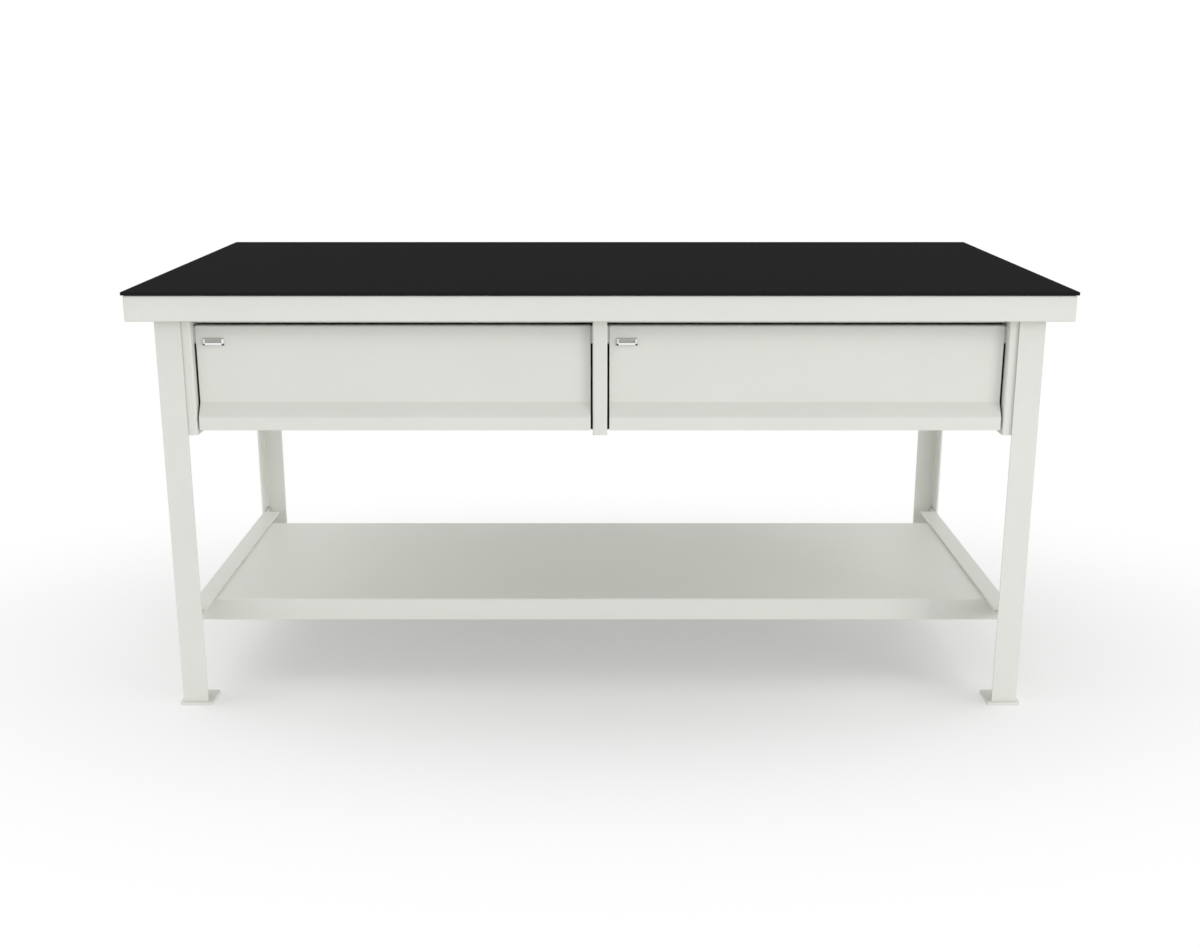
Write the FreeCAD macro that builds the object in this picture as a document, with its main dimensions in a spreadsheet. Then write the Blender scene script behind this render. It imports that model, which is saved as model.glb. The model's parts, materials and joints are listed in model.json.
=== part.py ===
import FreeCAD, Part
import os

import Sketcher
from FreeCAD import Placement, Rotation, Vector

# Steel work table with a surface sheet, a lower shelf and two lockable drawers.
# Origin on the floor under the middle of the top, +X to the right, -Y to the front, +Z up.

# Driving sizes: name, millimetres, what it measures
SIZES = (
    ("table_width", 1833.2, "surface sheet, left to right"),
    ("table_depth", 918.8, "surface sheet, front to back"),
    ("table_height", 869.95, "floor to the upper face of the surface sheet"),
    ("sheet_thickness", 6.35, "surface sheet"),
    ("sheet_overhang", 4.0, "surface sheet beyond the steel top, each side"),
    ("sheet_corner_radius", 2.5, "surface sheet, corners seen from above"),
    ("sheet_edge_bevel", 0.8, "surface sheet, upper edge"),
    ("top_thickness", 2.66, "steel of the top panel"),
    ("top_flange_depth", 50.8, "down-turned edge of the top panel"),
    ("top_bend_inside", 1.5, "inside radius of the top panel's bends"),
    ("leg_inset", 46.6, "edge of the surface sheet to the outer faces of a leg"),
    ("leg_width", 50.8, "each flange of a leg"),
    ("leg_thickness", 4.76, "flanges of a leg"),
    ("leg_root_radius", 4.0, "inside corner of a leg"),
    ("leg_toe_radius", 2.2, "inner rim of each leg flange"),
    ("foot_size", 66.7, "side of a square foot pad"),
    ("foot_thickness", 6.35, "foot pad"),
    ("foot_projection", 6.35, "foot pad beyond the outer faces of the leg"),
    ("foot_corner_radius", 1.5, "corners of a foot pad"),
    ("anchor_diameter", 14.3, "floor anchor hole in a foot pad"),
    ("anchor_setback", 38.0, "outer sides of a foot pad to the anchor hole"),
    ("stretcher_width", 38.1, "each flange of a stretcher"),
    ("stretcher_thickness", 4.76, "flanges of a stretcher"),
    ("stretcher_root_radius", 3.0, "inside corner of a stretcher"),
    ("stretcher_top", 190.3, "floor to the upper face of a stretcher"),
    ("shelf_depth", 558.8, "lower shelf, front to back"),
    ("shelf_lip", 47.6, "down-turned edge of the lower shelf"),
    ("shelf_thickness", 2.66, "steel of the lower shelf"),
    ("shelf_bend_inside", 1.8, "inside radius of the shelf's bends"),
    ("stiffener_width", 76.0, "stiffening channel, outside its two walls"),
    ("stiffener_depth", 32.0, "stiffening channel, below the plate"),
    ("stiffener_flange", 20.0, "stiffening channel, each weld flange"),
    ("stiffener_thickness", 1.9, "steel of a stiffening channel"),
    ("stiffener_bend_inside", 1.5, "inside radius of a stiffening channel's bends"),
    ("stiffener_length", 1600.0, "stiffening channel, left to right"),
    ("top_stiffener_setback", 169.4, "rear edge of the surface sheet to the channel under the top"),
    ("hanger_height", 283.5, "drawer hanger, below the top plate"),
    ("hanger_tail", 12.5, "drawer hanger, behind the runners"),
    ("hanger_thickness", 2.66, "steel of a drawer hanger"),
    ("hanger_bend_inside", 0.8, "inside radius of a hanger's bends"),
    ("hanger_reveal", 18.0, "side hanger seen beside the leg"),
    ("hanger_lap", 20.0, "front flange of a side hanger behind the leg"),
    ("hanger_top_flange", 30.0, "weld flange of a side hanger under the top"),
    ("hanger_bottom_flange", 15.0, "lower edge of a side hanger, turned out"),
    ("centre_width", 28.8, "centre hanger, outside its two walls"),
    ("bay_thickness", 1.2, "steel of a drawer bay's floor and back"),
    ("bay_bend_inside", 1.5, "inside radius of a drawer bay's bend"),
    ("bay_floor_setback", 50.0, "front of the hangers to the floor of a drawer bay"),
    ("front_gap", 4.2, "drawer front to the hangers, each side"),
    ("front_top_gap", 18.1, "lower edge of the top panel to the drawer front"),
    ("front_height", 207.3, "drawer front, upper edge to the foot of the lip"),
    ("front_thickness", 1.52, "steel of a drawer front"),
    ("front_bend_inside", 1.2, "inside radius of a drawer front's bends"),
    ("front_return", 12.0, "upper edge of a drawer front, turned back"),
    ("lip_height", 26.2, "upright part of the pull lip"),
    ("lip_projection", 19.0, "pull lip in front of the panel"),
    ("ledge_height", 26.9, "sloping part above the pull lip"),
    ("lip_hem", 8.0, "foot of the pull lip, folded flat behind it"),
    ("tray_length", 508.0, "drawer tray, front to back"),
    ("tray_height", 178.0, "drawer tray"),
    ("tray_top_gap", 4.7, "upper edge of the drawer front to that of the tray"),
    ("tray_thickness", 1.2, "steel of a drawer tray"),
    ("tray_bend_inside", 1.2, "inside radius of a tray's bends"),
    ("tray_hem", 9.0, "rim of a tray, folded flat inside"),
    ("hem_gap", 0.5, "between the hems at the corners of a tray"),
    ("runner_end_gap", 1.0, "rear end of the runners to the back of the tray"),
    ("runner_height", 34.0, "outer member of a runner"),
    ("runner_bend", 1.2, "outside radius of the bends of the runner members"),
    ("runner_width", 12.7, "closed runner, hanger to tray"),
    ("runner_wall", 1.5, "steel of the runner members"),
    ("runner_clearance", 0.3, "between the flanges of nested members"),
    ("runner_drop", 18.9, "upper edge of the drawer front to the runner's middle"),
    ("runner_setback", 1.0, "back of the drawer front to the runner"),
    ("outer_reach", 9.0, "outer member, web to the rim of its flanges"),
    ("middle_standoff", 4.2, "hanger to the web of the middle member"),
    ("middle_reach", 6.0, "middle member, web to the rim of its flanges"),
    ("inner_reach", 6.2, "inner member, tray to the rim of its flanges"),
    ("lock_offset", 34.6, "left edge of a drawer front to the key plug"),
    ("lock_drop", 30.2, "upper edge of a drawer front to the key plug"),
    ("bezel_width", 41.0, "lock bezel"),
    ("bezel_height", 14.6, "lock bezel"),
    ("bezel_shift", 1.8, "middle of the lock bezel, below the key plug"),
    ("bezel_depth", 4.6, "lock bezel in front of the panel"),
    ("bezel_bevel", 1.6, "bevel round the lock bezel"),
    ("window_width", 33.0, "recess in the face of the bezel"),
    ("window_height", 7.2, "recess in the face of the bezel"),
    ("window_depth", 2.4, "recess in the face of the bezel"),
    ("barrel_diameter", 10.0, "lock barrel behind the bezel"),
    ("barrel_length", 18.0, "lock barrel, from the face of the panel"),
    ("barrel_clearance", 0.2, "round the lock barrel in the panel, tray and nut"),
    ("nut_width", 15.0, "lock nut, across its flats"),
    ("nut_thickness", 4.0, "lock nut"),
    ("plug_diameter", 7.0, "key plug"),
    ("plug_clearance", 0.05, "round the key plug in its barrel"),
    ("plug_proud", 0.8, "face of the key plug above the recess"),
    ("keyway_height", 4.8, "keyway in the plug"),
    ("keyway_width", 1.2, "keyway in the plug"),
    ("keyway_depth", 8.0, "keyway in the plug"),
    ("tail_diameter", 5.0, "tail of the plug, through the cam"),
    ("cam_gap", 0.3, "end of the barrel to the cam"),
    ("cam_thickness", 2.5, "lock cam"),
    ("cam_width", 14.0, "lock cam"),
    ("cam_length", 42.0, "lock cam, turning axis to its tip"),
    ("screw_head_diameter", 9.0, "cam screw"),
    ("screw_head_height", 2.4, "cam screw"),
    ("screw_diameter", 3.0, "cam screw"),
    ("screw_length", 8.0, "cam screw under its head"),
    ("strike_thickness", 2.66, "steel of a strike"),
    ("strike_flange", 25.0, "strike, weld flange under the top"),
    ("strike_bend_inside", 1.5, "inside radius of the strike's bend"),
    ("strike_clearance", 3.3, "upper edge of the drawer front to the strike"),
    ("strike_gap", 2.2, "back of the strike to the cam"),
)


class Length:
    """A number that keeps the expression which works it out from the sheet."""

    def __init__(self, value, text):
        self.value = value
        self.text = text

    def combine(self, other, sign, value):
        return Length(value, f"({self.text} {sign} {as_length(other).text})")

    def __add__(self, other):
        return self.combine(other, "+", self.value + as_length(other).value)

    def __sub__(self, other):
        return self.combine(other, "-", self.value - as_length(other).value)

    def __mul__(self, other):
        return self.combine(other, "*", self.value * as_length(other).value)

    def __truediv__(self, other):
        return self.combine(other, "/", self.value / as_length(other).value)

    def __neg__(self):
        return Length(-self.value, f"(-1 * {self.text})")


def as_length(number):
    if isinstance(number, Length):
        return number
    return Length(float(number), f"{number}")


def hypotenuse(first, second):
    squares = first * first + second * second
    return Length(squares.value ** 0.5, f"sqrt({squares.text})")


class SheetSizes:
    """Gives each named cell of the sheet as a Length."""

    def __init__(self, sheet):
        self.sheet = sheet

    def __getattr__(self, alias):
        return Length(getattr(self.sheet, alias), f"{self.sheet.Name}.{alias}")


def make_sheet(document):
    sheet = document.addObject("Spreadsheet::Sheet", "Sizes")
    for row, (alias, number, note) in enumerate(SIZES, start=1):
        sheet.set(f"A{row}", alias)
        sheet.set(f"B{row}", str(number))
        sheet.set(f"C{row}", note)
        sheet.setAlias(f"B{row}", alias)
    document.recompute()
    return sheet


doc = FreeCAD.newDocument("WorkTable")
size = SheetSizes(make_sheet(doc))
zero = as_length(0)
pieces = []

# Heights and planes that several pieces share
steel_top = size.table_height - size.sheet_thickness
steel_width = size.table_width - size.sheet_overhang * 2
steel_depth = size.table_depth - size.sheet_overhang * 2
plate_underside = steel_top - size.top_thickness
leg_outer_x = size.table_width / 2 - size.leg_inset
leg_outer_y = size.table_depth / 2 - size.leg_inset
leg_inner_x = leg_outer_x - size.leg_thickness
leg_back_y = leg_outer_y - size.leg_thickness
shelf_top = size.stretcher_top - size.stretcher_thickness
shelf_width = (leg_inner_x - size.stretcher_thickness) * 2

# Drawer openings between the hangers
hanger_inner_x = leg_outer_x - size.leg_width - size.hanger_reveal
centre_outer_x = size.centre_width / 2
opening_width = hanger_inner_x - centre_outer_x
opening_middle_x = (hanger_inner_x + centre_outer_x) / 2
front_width = opening_width - size.front_gap * 2
tray_width = opening_width - size.runner_width * 2

# Planes of a closed drawer, front to back
panel_y = size.lip_projection - leg_back_y
panel_back_y = panel_y + size.front_thickness
tray_wall_y = panel_back_y + size.tray_thickness
barrel_end_y = panel_y + size.barrel_length
cam_front_y = barrel_end_y + size.cam_gap
cam_back_y = cam_front_y + size.cam_thickness
front_top = steel_top - size.top_flange_depth - size.front_top_gap
runner_middle = front_top - size.runner_drop
lock_height = front_top - size.lock_drop

# Lengths that follow the tray, front to back
runner_front_y = panel_back_y + size.runner_setback
runner_length = size.tray_length - size.runner_setback - size.runner_end_gap
hanger_length = runner_front_y + leg_back_y + runner_length + size.hanger_tail


# Helpers for bodies, sketches and features


def new_body(label):
    body = doc.addObject("PartDesign::Body", label)
    body.Label = label
    pieces.append(body)
    return body


def place(body, x=zero, y=zero, z=zero, turn=0):
    body.Placement = Placement(Vector(x.value, y.value, z.value), Rotation(Vector(0, 0, 1), turn))
    for axis, length in (("x", x), ("y", y), ("z", z)):
        body.setExpression(f"Placement.Base.{axis}", length.text)


def new_sketch(body, plane, lift=zero):
    sketch = body.newObject("Sketcher::SketchObject", f"{body.Label}_sketch")
    support = [feature for feature in body.Origin.OriginFeatures if feature.Role == plane]
    sketch.AttachmentSupport = [(support[0], "")]
    sketch.MapMode = "FlatFace"
    sketch.AttachmentOffset = Placement(Vector(0, 0, lift.value), Rotation())
    sketch.setExpression("AttachmentOffset.Base.z", lift.text)
    return sketch


def tie(sketch, kind, geometry, point, length):
    number = sketch.addConstraint(Sketcher.Constraint(kind, -1, 1, geometry, point, length.value))
    sketch.setExpression(f"Constraints[{number}]", length.text)


def draw_outline(sketch, corners):
    """Closed outline of straight sides, with each corner tied to the sheet."""
    first = sketch.GeometryCount
    count = len(corners)
    points = [Vector(x.value, y.value, 0) for x, y in corners]
    for number in range(count):
        sketch.addGeometry(Part.LineSegment(points[number], points[(number + 1) % count]), False)
    for number in range(count):
        following = first + (number + 1) % count
        sketch.addConstraint(Sketcher.Constraint("Coincident", first + number, 2, following, 1))
    for number, (x, y) in enumerate(corners):
        tie(sketch, "DistanceX", first + number, 1, x)
        tie(sketch, "DistanceY", first + number, 1, y)


def draw_circle(sketch, x, y, diameter):
    radius = diameter / 2
    shape = Part.Circle(Vector(x.value, y.value, 0), Vector(0, 0, 1), radius.value)
    circle = sketch.addGeometry(shape, False)
    tie(sketch, "DistanceX", circle, 3, x)
    tie(sketch, "DistanceY", circle, 3, y)
    number = sketch.addConstraint(Sketcher.Constraint("Radius", circle, radius.value))
    sketch.setExpression(f"Constraints[{number}]", radius.text)


def rectangle(low_x, low_y, high_x, high_y):
    return [(low_x, low_y), (high_x, low_y), (high_x, high_y), (low_x, high_y)]


def centred_rectangle(width, height):
    return rectangle(-width / 2, -height / 2, width / 2, height / 2)


def extrude(body, kind, sketch, length, reverse=False, both=False):
    feature = body.newObject(f"PartDesign::{kind}", f"{body.Label}_{kind.lower()}")
    feature.Profile = sketch
    feature.setExpression("Length", length.text)
    feature.Reversed = reverse
    feature.SideType = "Symmetric" if both else "One side"
    doc.recompute()
    return feature


def pad(body, sketch, length, reverse=False, both=False):
    return extrude(body, "Pad", sketch, length, reverse, both)


def pocket(body, sketch, length, reverse=False, both=False):
    before = body.Shape.Volume
    feature = extrude(body, "Pocket", sketch, length, reverse, both)
    if body.Shape.Volume >= before:
        raise ValueError(f"a pocket of {body.Label} cuts nothing")
    return feature


def edge_names(shape, wanted):
    """Names of the edges whose end points pass the test."""
    names = []
    for number, edge in enumerate(shape.Edges, start=1):
        if wanted([vertex.Point for vertex in edge.Vertexes]):
            names.append(f"Edge{number}")
    return names


def dress(body, kind, size_name, length, wanted):
    """Round or bevel the edges of the body whose end points pass the test."""
    base = body.Tip
    names = edge_names(base.Shape, wanted)
    if not names:
        raise ValueError(f"no edge of {body.Label} to dress")
    feature = body.newObject(f"PartDesign::{kind}", f"{body.Label}_{kind.lower()}")
    feature.Base = (base, names)
    feature.setExpression(size_name, length.text)
    doc.recompute()
    return feature


def fillet(body, radius, wanted):
    return dress(body, "Fillet", "Radius", radius, wanted)


def chamfer(body, width, wanted):
    return dress(body, "Chamfer", "Size", width, wanted)


def near(first, second):
    return abs(first - second) < 1e-4


def line_at(axes, *spots):
    """Test for edges that run square to two axes through one of the given spots."""
    first_axis, second_axis = axes

    def passes(point, spot):
        first, second = spot
        at_first = near(getattr(point, first_axis), first.value)
        return at_first and near(getattr(point, second_axis), second.value)

    return lambda points: any(all(passes(point, spot) for point in points) for spot in spots)


def level_at(axis, height):
    """Test for edges that lie in one plane square to an axis."""
    return lambda points: all(near(getattr(point, axis), height.value) for point in points)


def hollow(body, wall, open_at):
    """Make the solid a shell of one wall thickness, open at its flat face of that height."""
    base = body.Tip
    faces = enumerate(base.Shape.Faces, start=1)
    openings = [f"Face{number}" for number, face in faces if near(face.CenterOfMass.z, open_at.value)]
    feature = body.newObject("PartDesign::Thickness", f"{body.Label}_shell")
    feature.Base = (base, openings)
    feature.setExpression("Value", wall.text)
    feature.Reversed = True
    doc.recompute()
    return feature


# Top: surface sheet, steel panel and its stiffening channel


def make_surface_sheet():
    body = new_body("surface_sheet")
    sketch = new_sketch(body, "XY_Plane")
    corners = centred_rectangle(size.table_width, size.table_depth)
    draw_outline(sketch, corners)
    pad(body, sketch, size.sheet_thickness)
    fillet(body, size.sheet_corner_radius, line_at("xy", *corners))
    chamfer(body, size.sheet_edge_bevel, level_at("z", size.sheet_thickness))
    place(body, z=steel_top)


def make_pan(label, width, depth, lip, wall, bend_inside):
    """Plate with all four edges turned down and mitred, its upper face at local zero."""
    body = new_body(label)
    sketch = new_sketch(body, "XY_Plane")
    draw_outline(sketch, centred_rectangle(width, depth))
    pad(body, sketch, lip, reverse=True)
    fillet(body, bend_inside + wall, level_at("z", zero))
    hollow(body, wall, -lip)
    return body


def make_top_panel():
    body = make_pan("top_panel", steel_width, steel_depth, size.top_flange_depth,
                    size.top_thickness, size.top_bend_inside)
    place(body, z=steel_top)


def make_stiffener(label, y, z):
    """Hat channel welded by its two flanges under a plate."""
    wall = size.stiffener_thickness
    bend = size.stiffener_bend_inside
    foot = -size.stiffener_depth
    outer = size.stiffener_width / 2
    inner = outer - wall
    rim = outer + size.stiffener_flange
    floor = foot + wall
    right_half = [(rim, zero), (rim, -wall), (outer, -wall), (outer, foot)]
    left_half = [(-u, v) for u, v in reversed(right_half)]
    channel = [(-inner, zero), (-inner, floor), (inner, floor), (inner, zero)]
    body = new_body(label)
    sketch = new_sketch(body, "YZ_Plane")
    draw_outline(sketch, right_half + left_half + channel)
    pad(body, sketch, size.stiffener_length, both=True)
    fillet(body, bend + wall, line_at("yz", (-outer, foot), (outer, foot), channel[0], channel[3]))
    fillet(body, bend, line_at("yz", (-outer, -wall), (outer, -wall), channel[1], channel[2]))
    place(body, y=y, z=z)


# Legs, foot pads and stretchers


def angle_section(width, wall):
    """L outline with its outer corner at zero and two equal flanges."""
    return [(zero, zero), (width, zero), (width, wall), (wall, wall), (wall, width), (zero, width)]


# Corner of the table: name, side along X, side along Y, quarter turns of the angle
CORNERS = (
    ("front_left", -1, -1, 0),
    ("front_right", 1, -1, 1),
    ("rear_right", 1, 1, 2),
    ("rear_left", -1, 1, 3),
)


def make_leg(name, side_x, side_y, quarters):
    body = new_body(f"leg_{name}")
    wall = size.leg_thickness
    sketch = new_sketch(body, "XY_Plane")
    draw_outline(sketch, angle_section(size.leg_width, wall))
    pad(body, sketch, plate_underside - size.foot_thickness)
    fillet(body, size.leg_root_radius, line_at("xy", (wall, wall)))
    fillet(body, size.leg_toe_radius, line_at("xy", (size.leg_width, wall), (wall, size.leg_width)))
    place(body, leg_outer_x * side_x, leg_outer_y * side_y, size.foot_thickness, 90 * quarters)


def make_foot(name, side_x, side_y, quarters):
    body = new_body(f"foot_pad_{name}")
    sketch = new_sketch(body, "XY_Plane")
    corners = rectangle(zero, zero, size.foot_size, size.foot_size)
    draw_outline(sketch, corners)
    draw_circle(sketch, size.anchor_setback, size.anchor_setback, size.anchor_diameter)
    pad(body, sketch, size.foot_thickness)
    fillet(body, size.foot_corner_radius, line_at("xy", *corners))
    reach = size.foot_projection
    place(body, (leg_outer_x + reach) * side_x, (leg_outer_y + reach) * side_y, zero, 90 * quarters)


def make_stretcher(name, side, turn):
    """Angle between two legs; its level flange stops at the edges of their flanges."""
    body = new_body(f"stretcher_{name}")
    wall = size.stretcher_thickness
    width = size.stretcher_width
    length = (leg_back_y - size.leg_root_radius) * 2
    sketch = new_sketch(body, "XZ_Plane")
    draw_outline(sketch, [(u, -v) for u, v in angle_section(width, wall)])
    pad(body, sketch, length, both=True)
    fillet(body, size.stretcher_root_radius, line_at("xz", (wall, -wall)))
    cope_start = leg_outer_y - size.leg_width
    cope = new_sketch(body, "XY_Plane")
    for end in (-1, 1):
        draw_outline(cope, rectangle(wall, cope_start * end, width, length / 2 * end))
    pocket(body, cope, width)
    place(body, leg_inner_x * side, zero, size.stretcher_top, turn)


def make_lower_shelf():
    body = make_pan("lower_shelf", shelf_width, size.shelf_depth, size.shelf_lip,
                    size.shelf_thickness, size.shelf_bend_inside)
    place(body, z=shelf_top)


# Drawer hangers, bays and lock strikes below the top


def make_side_hanger(name, side):
    """Upright sheet with its front, upper and lower edges turned out towards the leg."""
    body = new_body(f"drawer_hanger_{name}")
    wall = size.hanger_thickness
    bend = size.hanger_bend_inside
    back = hanger_length
    front_flange = size.hanger_reveal + size.hanger_lap
    web = [(zero, zero), (front_flange, zero), (front_flange, wall), (wall, wall), (wall, back), (zero, back)]
    sketch = new_sketch(body, "XY_Plane")
    draw_outline(sketch, [(u * side, v) for u, v in web])
    pad(body, sketch, size.hanger_height, reverse=True)
    fillet(body, bend + wall, line_at("xy", (zero, zero)))
    fillet(body, bend, line_at("xy", (wall * side, wall)))
    flanges = ((size.hanger_top_flange, zero), (size.hanger_bottom_flange, wall - size.hanger_height))
    for reach, lift in flanges:
        level = new_sketch(body, "XY_Plane", lift)
        draw_outline(level, rectangle(wall * side / 2, wall + bend, reach * side, back))
        pad(body, level, wall, reverse=True)
    place(body, hanger_inner_x * side, -leg_back_y, plate_underside)


def make_centre_hanger():
    """Upright channel between the drawers, open at the back."""
    body = new_body("drawer_hanger_centre")
    wall = size.hanger_thickness
    outer = centre_outer_x
    inner = outer - wall
    back = hanger_length
    sketch = new_sketch(body, "XY_Plane")
    draw_outline(sketch, [
        (-outer, zero), (outer, zero), (outer, back), (inner, back),
        (inner, wall), (-inner, wall), (-inner, back), (-outer, back),
    ])
    pad(body, sketch, size.hanger_height, reverse=True)
    bend = size.hanger_bend_inside
    fillet(body, bend + wall, line_at("xy", (-outer, zero), (outer, zero)))
    fillet(body, bend, line_at("xy", (-inner, wall), (inner, wall)))
    place(body, zero, -leg_back_y, plate_underside)


def make_drawer_bay(name, middle_x):
    """Bent sheet between two hangers that closes the floor and the back of a drawer's bay."""
    body = new_body(f"drawer_bay_{name}")
    wall = size.bay_thickness
    bend = size.bay_bend_inside
    front = size.bay_floor_setback
    back = hanger_length
    top = size.hanger_height
    sketch = new_sketch(body, "YZ_Plane")
    draw_outline(sketch, [
        (front, zero), (back, zero), (back, top), (back - wall, top), (back - wall, wall), (front, wall),
    ])
    pad(body, sketch, opening_width, both=True)
    fillet(body, bend + wall, line_at("yz", (back, zero)))
    fillet(body, bend, line_at("yz", (back - wall, wall)))
    place(body, middle_x, -leg_back_y, plate_underside - top)


def make_strike(name, middle_x):
    """Rail under the top; the raised lock cam catches behind its lower edge."""
    body = new_body(f"lock_strike_{name}")
    wall = size.strike_thickness
    drop = plate_underside - front_top - size.strike_clearance
    flange = size.strike_flange
    sketch = new_sketch(body, "YZ_Plane")
    draw_outline(sketch, [
        (zero, zero), (-flange, zero), (-flange, -wall), (-wall, -wall), (-wall, -drop), (zero, -drop),
    ])
    pad(body, sketch, opening_width, both=True)
    bend = size.strike_bend_inside
    fillet(body, bend + wall, line_at("yz", (zero, zero)))
    fillet(body, bend, line_at("yz", (-wall, -wall)))
    place(body, middle_x, cam_front_y - size.strike_gap, plate_underside)


# Drawer: front, tray and runners


def make_drawer_front(name, middle_x):
    """Bent sheet: returned upper edge, panel, sloping ledge and hemmed pull lip."""
    body = new_body(f"drawer_front_{name}")
    wall = size.front_thickness
    bend = size.front_bend_inside
    lip = -size.lip_projection
    foot = -size.front_height
    lip_top = foot + size.lip_height
    ledge_top = lip_top + size.ledge_height
    slope = hypotenuse(size.lip_projection, size.ledge_height)
    mitre = wall * (slope - size.ledge_height) / size.lip_projection
    hem_top = foot + size.lip_hem
    face = [(size.front_return, zero), (zero, zero), (zero, ledge_top), (lip, lip_top), (lip, foot)]
    hem = [(lip + wall * 2, foot), (lip + wall * 2, hem_top), (lip + wall, hem_top)]
    back = [
        (lip + wall, lip_top - mitre), (wall, ledge_top - mitre),
        (wall, -wall), (size.front_return, -wall),
    ]
    sketch = new_sketch(body, "YZ_Plane")
    draw_outline(sketch, face + hem + back)
    pad(body, sketch, front_width, both=True)
    fillet(body, bend + wall, line_at("yz", face[1], face[3], back[1]))
    fillet(body, bend, line_at("yz", face[2], back[0], back[2]))
    lock_hole = new_sketch(body, "XZ_Plane")
    lock_x = size.lock_offset - front_width / 2
    draw_circle(lock_hole, lock_x, -size.lock_drop, size.barrel_diameter + size.barrel_clearance * 2)
    pocket(body, lock_hole, wall)
    place(body, middle_x, panel_y, front_top)


def make_drawer_tray(name, middle_x):
    """Floor and two sides of a drawer, bent from one sheet, their rims hemmed inside."""
    body = new_body(f"drawer_tray_{name}")
    wall = size.tray_thickness
    bend = size.tray_bend_inside
    foot = -size.tray_height
    outer = tray_width / 2
    inner = outer - wall
    hem = inner - wall
    right_half = [
        (outer, foot), (outer, zero), (hem, zero), (hem, -size.tray_hem), (inner, -size.tray_hem),
        (inner, foot + wall),
    ]
    left_half = [(-u, v) for u, v in reversed(right_half)]
    sketch = new_sketch(body, "XZ_Plane")
    draw_outline(sketch, right_half + left_half)
    pad(body, sketch, size.tray_length - wall * 2, reverse=True)
    fillet(body, bend + wall, line_at("xz", right_half[0], left_half[-1]))
    fillet(body, bend, line_at("xz", right_half[-1], left_half[0]))
    place(body, middle_x, tray_wall_y, front_top - size.tray_top_gap)


def make_tray_wall(label, middle_x, face_y, rearward):
    """Wall that closes one end of a tray, its rim hemmed inside; rearward is the way to the inside."""
    body = new_body(label)
    wall = size.tray_thickness
    foot = -size.tray_height
    outer = tray_width / 2
    sketch = new_sketch(body, "XZ_Plane")
    draw_outline(sketch, rectangle(-outer, foot, outer, zero))
    pad(body, sketch, wall, reverse=rearward)
    fillet(body, size.tray_bend_inside + wall, line_at("xz", (-outer, foot), (outer, foot)))
    hem_half = outer - wall * 2 - size.hem_gap
    hem = new_sketch(body, "XZ_Plane")
    draw_outline(hem, rectangle(-hem_half, -size.tray_hem, hem_half, zero))
    pad(body, hem, wall * 2, reverse=rearward)
    place(body, middle_x, face_y, front_top - size.tray_top_gap)
    return body


def make_tray_ends(name, middle_x):
    """Front wall of a tray, bored for the lock, and its back wall."""
    front = make_tray_wall(f"tray_front_{name}", middle_x, panel_back_y, True)
    lock_hole = new_sketch(front, "XZ_Plane")
    lock_x = size.lock_offset - front_width / 2
    lock_z = size.tray_top_gap - size.lock_drop
    draw_circle(lock_hole, lock_x, lock_z, size.barrel_diameter + size.barrel_clearance * 2)
    pocket(front, lock_hole, size.tray_thickness)
    make_tray_wall(f"tray_back_{name}", middle_x, panel_back_y + size.tray_length, False)


def channel_section(web_start, web_end, rim, half_height, wall):
    """C outline: a web between two levels, and two flanges out to the rim."""
    inner = half_height - wall
    return [
        (web_start, -half_height), (rim, -half_height), (rim, -inner), (web_end, -inner),
        (web_end, inner), (rim, inner), (rim, half_height), (web_start, half_height),
    ]


def make_runner(name, hanger_x, inward):
    """Three nested members between a hanger and a tray; inward is the way to the tray."""
    wall = size.runner_wall
    step = wall + size.runner_clearance
    outer_half = size.runner_height / 2
    middle_half = outer_half - step
    inner_half = middle_half - step
    middle_web = size.middle_standoff
    sections = (
        ("outer", channel_section(zero, wall, size.outer_reach, outer_half, wall)),
        ("middle", channel_section(middle_web, middle_web + wall, middle_web + size.middle_reach,
                                   middle_half, wall)),
        ("inner", channel_section(size.runner_width, size.runner_width - wall,
                                  size.runner_width - size.inner_reach, inner_half, wall)),
    )
    for member, corners in sections:
        body = new_body(f"runner_{member}_{name}")
        outline = [(u * inward, v) for u, v in corners]
        sketch = new_sketch(body, "XZ_Plane")
        draw_outline(sketch, outline)
        pad(body, sketch, runner_length, reverse=True)
        fillet(body, size.runner_bend, line_at("xz", outline[0], outline[-1]))
        place(body, hanger_x, runner_front_y, runner_middle)


# Lock: housing, nut, plug, cam and screw


def make_lock_housing(name, lock_x):
    """Bevelled bezel with a recessed face and a round barrel, bored for the plug."""
    body = new_body(f"lock_housing_{name}")
    bezel = new_sketch(body, "XZ_Plane")
    half_width = size.bezel_width / 2
    half_height = size.bezel_height / 2
    shift = size.bezel_shift
    draw_outline(bezel, rectangle(-half_width, -half_height - shift, half_width, half_height - shift))
    pad(body, bezel, size.bezel_depth)
    chamfer(body, size.bezel_bevel, level_at("y", -size.bezel_depth))
    window = new_sketch(body, "XZ_Plane", size.bezel_depth)
    draw_outline(window, centred_rectangle(size.window_width, size.window_height))
    pocket(body, window, size.window_depth)
    barrel = new_sketch(body, "XZ_Plane")
    draw_circle(barrel, zero, zero, size.barrel_diameter)
    pad(body, barrel, size.barrel_length, reverse=True)
    bore = new_sketch(body, "XZ_Plane")
    draw_circle(bore, zero, zero, size.plug_diameter + size.plug_clearance * 2)
    pocket(body, bore, (size.barrel_length + size.bezel_depth) * 2, both=True)
    place(body, lock_x, panel_y, lock_height)


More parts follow.
